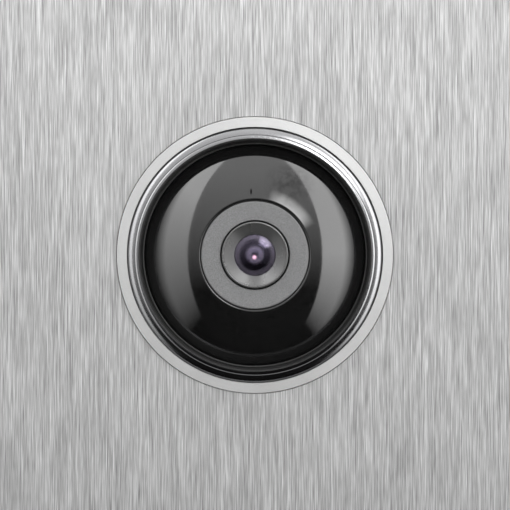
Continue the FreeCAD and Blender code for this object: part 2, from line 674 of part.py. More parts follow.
def camera_cap():
    """Glossy cap: a zone of a sphere with a hole for the disc, a collar behind it and two screw bosses."""
    rim = math.radians(RIM_ANGLE)
    inner = SPHERE_R - CAP_T
    hole = DISC_R + DISC_GAP

    def on(sphere, angle):
        return (sphere * math.sin(angle), PIVOT - sphere * math.cos(angle))
    outer_half = (math.asin(hole / SPHERE_R) + rim) / 2
    inner_half = (math.asin(COLLAR_R / inner) + rim) / 2
    shell = turned(0, CAMERA_Z, [
        on(SPHERE_R, math.asin(hole / SPHERE_R)), (on(SPHERE_R, outer_half), on(SPHERE_R, rim)),
        on(inner, rim), (on(inner, inner_half), on(inner, math.asin(COLLAR_R / inner))),
        (COLLAR_R, CARRIER_FRONT), (hole - 1.0, CARRIER_FRONT), (hole - 1.0, DISC_BACK), (hole, DISC_BACK)])
    shell = shell.makeFillet(0.35, round_edges(shell, hole, sphere_depth(hole)))
    limit = Part.makeSphere(SPHERE_R - CAP_T / 2, V(0, FRONT_Y + PIVOT, CAMERA_Z))
    bosses = [rod(0, CAMERA_Z + side * CAP_BOSS_AT, CAP_BOSS_R, DISC_FRONT, CARRIER_FRONT).common(limit)
              for side in (-1, 1)]
    drills = [rod(0, CAMERA_Z + side * CAP_BOSS_AT, SMALL_SCREW_R, CARRIER_FRONT - 5, CARRIER_FRONT)
              for side in (-1, 1)]
    return cut(fuse([shell] + bosses), drills)


def face_disc():
    """Matt ring round the lens."""
    inner = LENS_R + LENS_GAP
    disc = pipe(0, CAMERA_Z, DISC_R, inner, DISC_FRONT, DISC_BACK)
    disc = disc.makeFillet(0.25, round_edges(disc, DISC_R, DISC_FRONT))
    return disc.makeFillet(0.12, round_edges(disc, inner, DISC_FRONT))


GLASS_FRONT = 1.0          # depths behind the lens's rim
GLASS_BACK = 2.6
SPACER_BACK = 5.2
MIDDLE_FRONT = 4.3
MIDDLE_EDGE = 5.3
MIDDLE_BACK = 6.6
REAR_FRONT = 8.0
REAR_EDGE = 9.2
REAR_BACK = 10.1
BORE_END = 10.5
THREAD_FROM = 5.0
THREAD_PITCH = 0.5
THREAD_TURNS = 16
THREAD_DEEP = 0.3


def lens_depth(behind_rim):
    return LENS_FRONT + behind_rim


def lens_barrel():
    """Threaded barrel whose front is a rounded rim and a hollow cone down to the glass."""
    rim = 0.45
    bore = LENS_GLASS_R + LENS_WALL_GAP
    outline = [(bore, lens_depth(CONE_DEPTH)), (LENS_R - rim, lens_depth(0.25)),
               (LENS_R - rim, lens_depth(0.15)), ((LENS_R - rim / 2, LENS_FRONT), (LENS_R, lens_depth(0.2))),
               (LENS_R, lens_depth(THREAD_FROM))]
    for k in range(THREAD_TURNS):
        crest = THREAD_FROM + (k + 1) * THREAD_PITCH
        outline += [(LENS_R - THREAD_DEEP, lens_depth(crest - THREAD_PITCH / 2)), (LENS_R, lens_depth(crest))]
    outline += [(LENS_R, LENS_BACK), (LENS_REAR_R, LENS_BACK), (LENS_REAR_R, lens_depth(BORE_END)),
                (LENS_BORE_R, lens_depth(BORE_END)), (LENS_BORE_R, lens_depth(SPACER_BACK)),
                (bore, lens_depth(SPACER_BACK))]
    return turned(0, CAMERA_Z, outline)


def lens_front_glass():
    """Front glass, bulging forward, hollowed a little behind."""
    hollow_r = LENS_GLASS_R * 0.72
    front, edge, back = lens_depth(GLASS_FRONT), lens_depth(CONE_DEPTH + 0.15), lens_depth(GLASS_BACK)
    return turned(0, CAMERA_Z, [(0, front), dome(LENS_GLASS_R, edge, front), (LENS_GLASS_R, back),
                                (hollow_r, back), dome(hollow_r, back, back - 0.5, outward=False)])


def lens_spacer():
    """Black stepped ring behind the front glass."""
    step_r = LENS_BORE_R * 0.65
    return turned(0, CAMERA_Z, [
        (LENS_GLASS_R, lens_depth(GLASS_BACK)), (LENS_GLASS_R, lens_depth(SPACER_BACK)),
        (LENS_BORE_R, lens_depth(SPACER_BACK)), (LENS_BORE_R, lens_depth(MIDDLE_FRONT - 0.2)),
        (step_r, lens_depth(MIDDLE_FRONT - 0.7)), (step_r, lens_depth(GLASS_BACK + 0.6)),
        (LENS_GLASS_R * 0.72, lens_depth(GLASS_BACK))])


def lens_inner_glass():
    """Middle and rear glass."""
    edge = LENS_BORE_R
    middle = turned(0, CAMERA_Z, [
        (0, lens_depth(MIDDLE_FRONT)), dome(edge, lens_depth(MIDDLE_EDGE), lens_depth(MIDDLE_FRONT)),
        (edge, lens_depth(MIDDLE_BACK)), (0, lens_depth(MIDDLE_BACK))])
    rear = turned(0, CAMERA_Z, [
        (0, lens_depth(REAR_FRONT)), (edge, lens_depth(REAR_FRONT)), (edge, lens_depth(REAR_EDGE)),
        dome(edge, lens_depth(REAR_EDGE), lens_depth(REAR_BACK), outward=False)])
    return group([middle, rear])


def lens_holder():
    """Tube that the lens screws into, on a square foot over the sensor."""
    outer = LENS_R + HOLDER_WALL
    foot_front = CAMERA_BOARD_FRONT - 3.0
    half = HOLDER_BASE / 2
    foot = block(-half, half, foot_front, CAMERA_BOARD_FRONT, CAMERA_Z - half, CAMERA_Z + half)
    body = fuse([rod(0, CAMERA_Z, outer, CARRIER_FRONT - 0.5, foot_front + 0.5), foot])
    room = block(-5, 5, foot_front + 1.2, CAMERA_BOARD_FRONT + 1, CAMERA_Z - 5, CAMERA_Z + 5)
    return cut(body, [rod(0, CAMERA_Z, LENS_R, 0, foot_front), rod(0, CAMERA_Z, 3.5, 0, CAMERA_BOARD_FRONT),
                      room])


def infrared_filter():
    room_front = CAMERA_BOARD_FRONT - 1.8
    return block(-4.2, 4.2, room_front, room_front + 0.3, CAMERA_Z - 4.2, CAMERA_Z + 4.2)


def image_sensor():
    return block(-3.6, 3.6, CAMERA_BOARD_FRONT - 0.9, CAMERA_BOARD_FRONT, CAMERA_Z - 3.0, CAMERA_Z + 3.0)


def board_post_places():
    at = CAMERA_BOARD / 2 - BOARD_SCREW_INSET
    return [(sx * at, CAMERA_Z + sz * at) for sx, sz in CORNERS]


def camera_board():
    half = CAMERA_BOARD / 2
    board = block(-half, half, CAMERA_BOARD_FRONT, CAMERA_BOARD_FRONT + CAMERA_BOARD_T,
                  CAMERA_Z - half, CAMERA_Z + half)
    return cut(board, [rod(x, z, SMALL_SCREW_R + SCREW_GAP, 0, TOTAL_DEPTH) for x, z in board_post_places()])


def camera_connector():
    back = CAMERA_BOARD_FRONT + CAMERA_BOARD_T
    shell = block(-RIBBON_W / 2 - 1.5, RIBBON_W / 2 + 1.5, back, back + 2.0, CAMERA_Z - 8, CAMERA_Z - 4)
    slot = block(-RIBBON_W / 2, RIBBON_W / 2, back + 0.5, back + 1.5, CAMERA_Z - 9, CAMERA_Z - 5)
    return shell.cut(slot)


def camera_carrier():
    """Frame behind the cap: a plate, four posts for the board and two arms with the tilt bearings."""
    plate = rod(0, CAMERA_Z, CARRIER_R, CARRIER_FRONT, CARRIER_BACK)
    posts = [rod(x, z, POST_R, CARRIER_BACK - 0.5, CAMERA_BOARD_FRONT) for x, z in board_post_places()]
    arms = []
    for side in (-1, 1):
        near, far = sorted((side * ARM_IN, side * ARM_OUT))
        arms.append(block(near, far, CARRIER_BACK - 0.5, PIVOT, CAMERA_Z - ARM_W / 2, CAMERA_Z + ARM_W / 2))
        arms.append(cross_rod(ARM_W / 2, (near, PIVOT, CAMERA_Z), (far, PIVOT, CAMERA_Z)))
    drills = [rod(0, CAMERA_Z, LENS_R + HOLDER_WALL + 0.3, 0, CARRIER_BACK + 1)]
    drills += [rod(0, CAMERA_Z + side * CAP_BOSS_AT, SMALL_SCREW_R + SCREW_GAP, 0, TOTAL_DEPTH)
               for side in (-1, 1)]
    drills += [rod(x, z, SMALL_SCREW_R, CARRIER_BACK, TOTAL_DEPTH) for x, z in board_post_places()]
    drills.append(cross_rod(PIN_R + PIN_CLEAR, (-GIMBAL_OUT_R, PIVOT, CAMERA_Z),
                            (GIMBAL_OUT_R, PIVOT, CAMERA_Z)))
    return cut(fuse([plate] + posts + arms), drills)


def camera_screws():
    """Two screws that hold the carrier in the cap, and four that hold the board on its posts."""
    seats = [(0, CAMERA_Z + side * CAP_BOSS_AT, CARRIER_BACK) for side in (-1, 1)]
    seats += [(x, z, CAMERA_BOARD_FRONT + CAMERA_BOARD_T) for x, z in board_post_places()]
    return group([pan_screw(x, z, SMALL_SCREW_R, SMALL_HEAD_R, SMALL_HEAD_T, seat, SMALL_SCREW_LENGTH)
                  for x, z, seat in seats])


RIBBON_W = 12.0
RIBBON_T = 0.3
RIBBON_Z = CAMERA_Z - 14.0


def camera_ribbon():
    """Flat ribbon from the camera's board, out through the cover's slot and down to the main board."""
    start = CAMERA_BOARD_FRONT + CAMERA_BOARD_T + 1.0
    behind = NECK_END + COVER_T + REAR_ROOM / 2
    in_socket = BOARD_FRONT - 1.0
    return ribbon([(start, CAMERA_Z - 5.5), (start, CAMERA_Z - 11.5), (PIVOT + 1, CAMERA_Z - 11.5),
                   (PIVOT + 1, RIBBON_Z), (behind, RIBBON_Z), (behind, BOARD_TOP + 5.0),
                   (in_socket, BOARD_TOP + 5.0), (in_socket, BOARD_TOP - 4.5)], 1.2, RIBBON_T, RIBBON_W)


# ---- loudspeaker

SPEAKER_FRONT = PLATE_T + MEMBRANE_T + SPEAKER_GASKET_T
SPEAKER_RIM_T = 1.2
SPEAKER_CLAMP_FRONT = SPEAKER_FRONT + SPEAKER_RIM_T
SPEAKER_CLAMP_T = 1.0
SPEAKER_CLAMP_BACK = SPEAKER_CLAMP_FRONT + SPEAKER_CLAMP_T
RIM_W = 1.8                # flat rim of the basket, under the gasket
SURROUND_W = 3.0
CONE_R = SPEAKER_R - RIM_W - SURROUND_W
CONE_RIM = 0.8
CONE_FRONT = SPEAKER_FRONT + 0.8
CONE_BACK = CONE_FRONT + 3.95
COIL_R = 5.0
COIL_T = 0.35
BASKET_R = 11.5
LUG_AT = 14.0              # speaker's axis to its lead
BASKET_DEPTH = SPEAKER_FRONT + 8.5
TOP_PLATE_T = 1.5
MAGNET_T = 4.0
YOKE_T = 1.5


def speaker_membrane():
    return rod(0, SPEAKER_Z, SPEAKER_R - 1.0, PLATE_T, PLATE_T + MEMBRANE_T)


def speaker_gasket():
    return pipe(0, SPEAKER_Z, SPEAKER_R, SPEAKER_R - RIM_W, PLATE_T + MEMBRANE_T, SPEAKER_FRONT)


def speaker_frame():
    """Pressed steel basket with six windows, and a lug for the lead."""
    t = 0.8
    neck_r = BASKET_R + t
    basket = turned(0, SPEAKER_Z, [
        (SPEAKER_R - RIM_W, SPEAKER_FRONT), (SPEAKER_R, SPEAKER_FRONT), (SPEAKER_R, SPEAKER_CLAMP_FRONT),
        (SPEAKER_R - RIM_W + 0.2, SPEAKER_CLAMP_FRONT), (SPEAKER_R - RIM_W - 0.6, SPEAKER_CLAMP_FRONT + 0.6),
        (neck_r, BASKET_DEPTH - 2.5), (neck_r, BASKET_DEPTH), (COIL_R + 1.0, BASKET_DEPTH),
        (COIL_R + 1.0, BASKET_DEPTH - t), (BASKET_R, BASKET_DEPTH - t), (BASKET_R, BASKET_DEPTH - 2.8),
        (SPEAKER_R - RIM_W - 1.2, CONE_FRONT), (SPEAKER_R - RIM_W, CONE_FRONT)])
    windows = []
    for k in range(6):
        angle = math.radians(60 * k + 30)
        across, up = math.cos(angle), math.sin(angle)
        windows.append(cross_rod(1.9, (12 * across, SPEAKER_FRONT + 3.6, SPEAKER_Z + 12 * up),
                                 (30 * across, SPEAKER_FRONT + 6.5, SPEAKER_Z + 30 * up)))
    lug = block(-LUG_AT - 2.0, -BASKET_R, BASKET_DEPTH - t, BASKET_DEPTH, SPEAKER_Z - 2.0, SPEAKER_Z + 2.0)
    return fuse([cut(basket, windows), lug])


def speaker_surround():
    """Half-round rubber roll between the basket's rim and the cone."""
    outer = CONE_R + SURROUND_W
    t = 0.3
    rise = 0.75
    front = CONE_FRONT - t
    middle = (outer + CONE_R) / 2
    return turned(0, SPEAKER_Z, [
        (outer, front), (outer - 0.5, front), ((middle, front - rise), (CONE_R + 0.3, front)),
        (CONE_R - CONE_RIM, front), (CONE_R - CONE_RIM, CONE_FRONT), (CONE_R + 0.3 + t, CONE_FRONT),
        ((middle, CONE_FRONT - rise), (outer - 0.5 - t, CONE_FRONT)), (outer, CONE_FRONT)])


def speaker_cone():
    """Moulded cone with a flat rim and a domed centre."""
    t = 0.35
    edge = COIL_R + COIL_T
    rise = 1.8
    return turned(0, SPEAKER_Z, [
        (0, CONE_BACK - t - rise), dome(edge, CONE_BACK - t, CONE_BACK - t - rise),
        (CONE_R - CONE_RIM, CONE_FRONT), (CONE_R, CONE_FRONT), (CONE_R, CONE_FRONT + t),
        (CONE_R - CONE_RIM, CONE_FRONT + t), (edge, CONE_BACK), (COIL_R, CONE_BACK),
        dome(COIL_R, CONE_BACK, CONE_BACK - rise, outward=False)])


def voice_coil():
    return pipe(0, SPEAKER_Z, COIL_R + COIL_T, COIL_R, CONE_BACK, BASKET_DEPTH + TOP_PLATE_T + 0.8)


def speaker_top_plate():
    return pipe(0, SPEAKER_Z, BASKET_R, COIL_R + 1.0, BASKET_DEPTH, BASKET_DEPTH + TOP_PLATE_T)


def speaker_magnet():
    front = BASKET_DEPTH + TOP_PLATE_T
    return pipe(0, SPEAKER_Z, BASKET_R + 1.0, COIL_R + 2.0, front, front + MAGNET_T)


def speaker_yoke():
    front = BASKET_DEPTH + TOP_PLATE_T + MAGNET_T
    pole = rod(0, SPEAKER_Z, COIL_R - 0.5, BASKET_DEPTH, front + 0.1)
    return fuse([rod(0, SPEAKER_Z, BASKET_R, front, front + YOKE_T), pole])


def speaker_clamp():
    """Steel ring with four ears that presses the speaker's rim against its gasket."""
    ring = rod(0, SPEAKER_Z, SPEAKER_R + 0.6, SPEAKER_CLAMP_FRONT, SPEAKER_CLAMP_BACK)
    clamp_at = (SPEAKER_R + SPEAKER_EAR_OUT) / math.sqrt(2)
    places = [(sx * clamp_at, SPEAKER_Z + sz * clamp_at) for sx, sz in CORNERS]
    ears = [rod(x, z, 3.6, SPEAKER_CLAMP_FRONT, SPEAKER_CLAMP_BACK) for x, z in places]
    drills = [rod(x, z, STUD_R + SCREW_GAP, 0, TOTAL_DEPTH) for x, z in places]
    return cut(fuse([ring] + ears), drills + [rod(0, SPEAKER_Z, SPEAKER_R - 1.5, 0, TOTAL_DEPTH)])


# ---- call button

BUTTON_BORE_R = BUTTON_CAP_R + LIGHT_RING_W
BUTTON_REAR_R = BUTTON_BORE_R - 0.8
CAP_GAP = 0.15
CAP_PROUD = 0.6            # cap's edge in front of the flange
CAP_FLANGE_R = BUTTON_BORE_R - 0.5
CAP_FLANGE_FRONT = 2.4     # the clear ring stops the cap's flange here
CAP_FLANGE_T = 0.8
STEM_R = 3.0
STEM_GAP = 0.08
GUIDE_R = 3.8
GUIDE_FRONT = 5.0
SHELF = 7.5                # depth of the shelf that the spring rests on
SHELF_T = 1.2
SEAL_AT = 6.3
SEAL_WIRE_R = 0.4
SPRING_R = 5.0
SPRING_WIRE_R = 0.35
SPRING_TURNS = 4
STEM_END = SHELF + SHELF_T + 0.4
SWITCH_FRONT = STEM_END + BUTTON_TRAVEL + 0.3
SWITCH_BOARD = SWITCH_FRONT + 2.4
PLUNGER_R = 1.6
LIGHT_AT = 8.2             # button's axis to a light


def light_places():
    return [(LIGHT_AT * math.cos(math.radians(a)), BUTTON_Z + LIGHT_AT * math.sin(math.radians(a)))
            for a in (45, 135, 225, 315)]


def button_housing():
    """Steel body with a front flange. A tube on its inner shelf guides the cap's stem, and four holes in
    the shelf let the light through."""
    guide = STEM_R + STEM_GAP
    body = turned(0, BUTTON_Z, [
        (BUTTON_BORE_R, -BUTTON_FLANGE_T + 0.2), (BUTTON_BORE_R + 0.3, -BUTTON_FLANGE_T),
        (BUTTON_FLANGE_R - 1.0, -BUTTON_FLANGE_T),
        ((BUTTON_FLANGE_R - 0.25, -BUTTON_FLANGE_T + 0.35), (BUTTON_FLANGE_R, -0.5)),
        (BUTTON_FLANGE_R, 0), (BUTTON_BODY_R, 0), (BUTTON_BODY_R, BUTTON_DEPTH),
        (BUTTON_BORE_R, BUTTON_DEPTH), (BUTTON_BORE_R, SWITCH_BOARD), (BUTTON_REAR_R, SWITCH_BOARD),
        (BUTTON_REAR_R, SHELF + SHELF_T), (guide, SHELF + SHELF_T), (guide, GUIDE_FRONT),
        (GUIDE_R, GUIDE_FRONT), (GUIDE_R, SHELF), (BUTTON_BORE_R, SHELF)])
    return cut(body, [rod(x, z, 1.0, SHELF - 1, SHELF + SHELF_T + 1) for x, z in light_places()])


def button_light_ring():
    """Clear ring round the cap, lit from behind. The cap's flange stops against its back."""
    front = -BUTTON_FLANGE_T + 0.3
    inner = BUTTON_CAP_R + CAP_GAP
    ring = pipe(0, BUTTON_Z, BUTTON_BORE_R, inner, front, CAP_FLANGE_FRONT)
    return ring.makeFillet(0.25, round_edges(ring, inner, front))


def button_cap():
    """Slightly hollowed steel cap with a flange and a stem. The stem ends on the switch's plunger."""
    front = -BUTTON_FLANGE_T - CAP_PROUD
    edge = 0.5
    soft = edge * (1 - math.sqrt(0.5))
    back = CAP_FLANGE_FRONT + CAP_FLANGE_T
    groove_r = STEM_R + STEM_GAP - 2 * SEAL_WIRE_R
    return turned(0, BUTTON_Z, [
        (0, front + 0.35), dome(BUTTON_CAP_R - 1.0, front, front + 0.35),
        (BUTTON_CAP_R - edge, front), ((BUTTON_CAP_R - soft, front + soft), (BUTTON_CAP_R, front + edge)),
        (BUTTON_CAP_R, CAP_FLANGE_FRONT), (CAP_FLANGE_R, CAP_FLANGE_FRONT), (CAP_FLANGE_R, back),
        (STEM_R, back), (STEM_R, SEAL_AT - 0.5), (groove_r, SEAL_AT - 0.5), (groove_r, SEAL_AT + 0.5),
        (STEM_R, SEAL_AT + 0.5), (STEM_R, STEM_END), (0, STEM_END)])


def button_seal():
    """O-ring in the stem's groove."""
    return Part.makeTorus(STEM_R + STEM_GAP - SEAL_WIRE_R - 0.01, SEAL_WIRE_R - 0.01,
                          V(0, FRONT_Y + SEAL_AT, BUTTON_Z), V(0, 1, 0))


def button_spring():
    """Coil spring between the cap's flange and the housing's shelf."""
    start = CAP_FLANGE_FRONT + CAP_FLANGE_T + SPRING_WIRE_R
    end = SHELF - SPRING_WIRE_R
    path = Part.makeHelix((end - start) / SPRING_TURNS, end - start, SPRING_R)
    ring = Part.Wire(Part.Circle(V(SPRING_R, 0, 0), V(0, 1, 0), SPRING_WIRE_R).toShape())
    coil = Part.Wire(path).makePipeShell([ring], True, True)
    coil.rotate(V(0, 0, 0), V(1, 0, 0), -90)
    coil.translate(V(0, FRONT_Y + start, BUTTON_Z))
    return coil


def button_nut():
    nut = hexagon(0, BUTTON_Z, BUTTON_NUT_AF, PLATE_T, PLATE_T + BUTTON_NUT_T)
    return nut.cut(rod(0, BUTTON_Z, BUTTON_BODY_R, 0, TOTAL_DEPTH))


def button_switch():
    """Square tactile switch on the button's board."""
    half = 3.0
    body = block(-half, half, SWITCH_FRONT, SWITCH_BOARD, BUTTON_Z - half, BUTTON_Z + half)
    return body.cut(rod(0, BUTTON_Z, PLUNGER_R + STEM_GAP, 0, SWITCH_FRONT + BUTTON_TRAVEL + 0.9))


def switch_plunger():
    return rod(0, BUTTON_Z, PLUNGER_R, STEM_END, SWITCH_FRONT + 0.3)


def button_board():
    """Round board behind the housing's ledge. It carries the switch and the lights."""
    return rod(0, BUTTON_Z, BUTTON_BORE_R, SWITCH_BOARD, SWITCH_BOARD + 1.0)


def button_lights():
    """Four light-emitting diodes behind the clear ring."""
    half = 0.8
    return group([block(x - half, x + half, SWITCH_BOARD - 1.0, SWITCH_BOARD, z - half, z + half)
                  for x, z in light_places()])


# ---- microphone

MIC_R = 3.0
MIC_T = 2.7
MIC_INSET = 1.5            # back of the plate to the capsule
MIC_BOOT_R = 5.5
MIC_BOOT_T = 5.0


def mic_capsule():
    front = PLATE_T + MIC_INSET
    can = rod(0, MIC_Z, MIC_R, front, front + MIC_T)
    return can.cut(rod(0, MIC_Z, 0.8, front, front + 0.3))


def mic_boot():
    """Rubber boot stuck to the back of the plate, with a sound channel in front of the capsule."""
    capsule_front = PLATE_T + MIC_INSET
    boot = rod(0, MIC_Z, MIC_BOOT_R, PLATE_T, PLATE_T + MIC_BOOT_T)
    pocket = rod(0, MIC_Z, MIC_R, capsule_front, capsule_front + MIC_T)
    sound = rod(0, MIC_Z, MIC_HOLE_R, 0, capsule_front)
    return cut(boot, [pocket, sound, rod(0, MIC_Z, LEAD_R + 0.6, capsule_front, TOTAL_DEPTH)])


# ---- main board

def board_holes():
    x = BOARD_W / 2 - BOARD_HOLE_INSET
    return [(sx * x, z) for sx in (-1, 1)
            for z in (BOARD_BOTTOM + BOARD_HOLE_INSET, BOARD_TOP - BOARD_HOLE_INSET)]


def main_board():
    board = block(-BOARD_W / 2, BOARD_W / 2, BOARD_FRONT, BOARD_BACK, BOARD_BOTTOM, BOARD_TOP)
    return cut(board, [rod(x, z, INNER_SCREW_R + SCREW_GAP, 0, TOTAL_DEPTH) for x, z in board_holes()])


def board_standoffs():
    return group([hexagon(x, z, NUT_AF, BOARD_BACK, BOX_FLOOR)
                  .cut(rod(x, z, INNER_SCREW_R, BOARD_BACK, BOX_FLOOR - 0.5)) for x, z in board_holes()])


def on_board(x, z, width, height, rise):
    """A box standing on the front of the main board, centred on x and z."""
    return block(x - width / 2, x + width / 2, BOARD_FRONT - rise, BOARD_FRONT,
                 z - height / 2, z + height / 2)


SHIELD_X = -20.0
SHIELD_FROM_TOP = 34.0
SHIELD_W = 30.0
SHIELD_H = 26.0
SHIELD_RISE = 4.0
SHIELD_WALL = 0.3
VENT_PITCH = 4.0
VENT_R = 0.9
COIL_SIDE = 9.0
COIL_RISE = 4.5
CAPACITOR_R = 4.0
CAPACITOR_RISE = 9.5
RELAY_W = 16.0
RELAY_H = 12.0
RELAY_RISE = 11.0
SOCKET_W = 6.0
SOCKET_H = 5.0
SOCKET_RISE = 4.5
SOCKET_WALL = 0.6
PLUG_END = 1.5             # board's face to the end of a plug


def shield_can():
    """Tinned lid over the processor, hollow inside, with a grid of vent holes."""
    z = BOARD_TOP - SHIELD_FROM_TOP
    half_w = SHIELD_W / 2 - SHIELD_WALL
    half_h = SHIELD_H / 2 - SHIELD_WALL
    lid = on_board(SHIELD_X, z, SHIELD_W, SHIELD_H, SHIELD_RISE)
    inside = block(SHIELD_X - half_w, SHIELD_X + half_w, BOARD_FRONT - SHIELD_RISE + SHIELD_WALL,
                   BOARD_FRONT + 1, z - half_h, z + half_h)
    vents = [rod(SHIELD_X + VENT_PITCH * k, z + VENT_PITCH * m, VENT_R,
                 BOARD_FRONT - SHIELD_RISE - 1, BOARD_FRONT - 1)
             for k in range(-2, 3) for m in range(-2, 3)]
    return cut(lid, [inside] + vents)


def board_components():
    """What is soldered on the main board: chips, coils, capacitors, the door relay and the sockets."""
    shield_z = BOARD_TOP - SHIELD_FROM_TOP
    processor = on_board(SHIELD_X - 5.0, shield_z + 2.0, 13.0, 13.0, 1.4)
    memory = on_board(SHIELD_X + 8.5, shield_z + 4.0, 8.0, 10.0, 1.2)
    flash = on_board(SHIELD_X + 8.5, shield_z - 7.0, 7.0, 5.0, 1.0)
    network = on_board(10.0, shield_z + 6.0, 7.0, 7.0, 1.1)
    amplifier = on_board(10.0, shield_z - 8.0, 6.0, 5.0, 1.5)
    converter = on_board(-30.0, BOARD_BOTTOM + 24.0, 5.0, 6.0, 1.5)
    parts = [processor, memory, flash, network, amplifier, converter]
    for x, z in ((24.0, BOARD_TOP - 30.0), (-32.0, BOARD_BOTTOM + 16.0)):
        coil = on_board(x, z, COIL_SIDE, COIL_SIDE, COIL_RISE)
        upright = [e for e in coil.Edges if abs(e.tangentAt(e.FirstParameter).y) > 0.9]
        parts.append(coil.makeFillet(1.2, upright))
    for x, down in ((26.0, 14.0), (35.5, 14.0), (35.5, 24.0)):
        can = rod(x, BOARD_TOP - down, CAPACITOR_R, BOARD_FRONT - CAPACITOR_RISE, BOARD_FRONT)
        parts.append(can.makeFillet(0.6, round_edges(can, CAPACITOR_R, BOARD_FRONT - CAPACITOR_RISE)))
    relay = on_board(27.0, BOARD_BOTTOM + 30.0, RELAY_W, RELAY_H, RELAY_RISE)
    above_board = FRONT_Y + BOARD_FRONT - 0.1
    parts.append(relay.makeFillet(0.6, [e for e in relay.Edges if e.CenterOfMass.y < above_board]))
    ribbon_socket = on_board(0, BOARD_TOP - 3.0, RIBBON_W + 4.0, 5.0, 2.2)
    ribbon_slot = block(-RIBBON_W / 2, RIBBON_W / 2, BOARD_FRONT - 1.6, BOARD_FRONT - 0.5,
                        BOARD_TOP - 5.0, BOARD_TOP + 1.0)
    parts.append(ribbon_socket.cut(ribbon_slot))
    for x, z in socket_places():
        shell = on_board(x, z, SOCKET_W, SOCKET_H, SOCKET_RISE)
        inside_w = SOCKET_W / 2 - SOCKET_WALL
        inside_h = SOCKET_H / 2 - SOCKET_WALL
        parts.append(shell.cut(block(x - inside_w, x + inside_w, BOARD_FRONT - SOCKET_RISE - 1,
                                     BOARD_FRONT - PLUG_END, z - inside_h, z + inside_h)))
    return group(parts)


def socket_places():
    """Speaker, button and microphone sockets."""
    return [(-36.0, BOARD_BOTTOM + 26.0), (-20.0, BOARD_BOTTOM + 20.0), (10.0, BOARD_BOTTOM + 20.0)]


TERMINAL_H = 10.0
TERMINAL_RISE = 11.0


def terminal_x():
    return [(k - (TERMINALS - 1) / 2) * TERMINAL_PITCH for k in range(TERMINALS)]


def terminal_block():
    """Row of screw terminals on the board's bottom edge. The wires go in from below."""
    z = BOARD_BOTTOM + TERMINAL_H / 2
    body = on_board(0, z, TERMINALS * TERMINAL_PITCH, TERMINAL_H, TERMINAL_RISE)
    tools = []
    for x in terminal_x():
        tools.append(rod(x, z, 1.9, 0, BOARD_FRONT - TERMINAL_RISE + 3.0))
        tools.append(block(x - 1.6, x + 1.6, BOARD_FRONT - 6.5, BOARD_FRONT - 3.0,
                           BOARD_BOTTOM - 1, BOARD_BOTTOM + 7.0))
    return cut(body, tools)


def terminal_screws():
    z = BOARD_BOTTOM + TERMINAL_H / 2
    head = BOARD_FRONT - TERMINAL_RISE + 0.6
    screws = []
    for x in terminal_x():
        screw = rod(x, z, 1.8, head, BOARD_FRONT - TERMINAL_RISE + 3.0)
        screws.append(screw.cut(block(x - 1.5, x + 1.5, head, head + 0.8, z - 0.25, z + 0.25)))
    return group(screws)


# ---- inner leads

def inner_leads():
    """Leads from the speaker, the button and the microphone to their sockets on the board."""
    plug = BOARD_FRONT - PLUG_END
    behind_speaker = BOARD_FRONT - 7.0
    behind_button = min(BUTTON_DEPTH + 5.0, BOARD_FRONT - TERMINAL_RISE - 2 * LEAD_R)
    speaker, button, microphone = socket_places()
    beside = BUTTON_BODY_R + 11.0
    mic_back = PLATE_T + MIC_INSET + MIC_T
    return group([
        lead([(-LUG_AT, BASKET_DEPTH, SPEAKER_Z), (-LUG_AT, behind_speaker, SPEAKER_Z),
              (speaker[0], behind_speaker, speaker[1]), (speaker[0], plug, speaker[1])], 3.0, LEAD_R),
        lead([(-4.0, SWITCH_BOARD + 1.0, BUTTON_Z + 3.0), (-4.0, behind_button, BUTTON_Z + 3.0),
              (button[0], behind_button, button[1]), (button[0], plug, button[1])], 2.5, LEAD_R),
        lead([(0, mic_back, MIC_Z), (0, mic_back + 5.5, MIC_Z), (beside, mic_back + 5.5, MIC_Z),
              (beside, behind_button, BUTTON_Z), (microphone[0], behind_button, microphone[1]),
              (microphone[0], plug, microphone[1])], 2.5, LEAD_R)])


NODES = [
    front_plate, plate_screws, stud_nuts, panel_gasket, back_box, cable_grommet,
    camera_bezel, bezel_gasket, retaining_ring, ball_seal, camera_housing, housing_cover, inner_screws,
    pan_pins, gimbal_ring, tilt_pins, friction_washers, camera_cap, face_disc, lens_barrel,
    lens_front_glass, lens_spacer, lens_inner_glass, lens_holder, infrared_filter, image_sensor,
    camera_board, camera_connector, camera_carrier, camera_screws, camera_ribbon,
    speaker_membrane, speaker_gasket, speaker_frame, speaker_surround, speaker_cone, voice_coil,
    speaker_top_plate, speaker_magnet, speaker_yoke, speaker_clamp,
    button_housing, button_light_ring, button_cap, button_seal, button_spring, button_nut, button_switch,
    switch_plunger, button_board, button_lights, mic_capsule, mic_boot,
    main_board, board_standoffs, board_components, terminal_block, terminal_screws, shield_can, inner_leads]


def main():
    os.makedirs("parts", exist_ok=True)
    for make in NODES:
        shape = make()
        if not shape.isValid():
            print("not valid:", make.__name__)
        print(f"{make.__name__:22s} solids {len(shape.Solids):3d} volume {shape.Volume:10.2f}")
        shape.exportStep(f"parts/{make.__name__}.step")


main()
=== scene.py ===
"""Looks for the wall-mounted video door station: materials, small trim, studio and camera."""

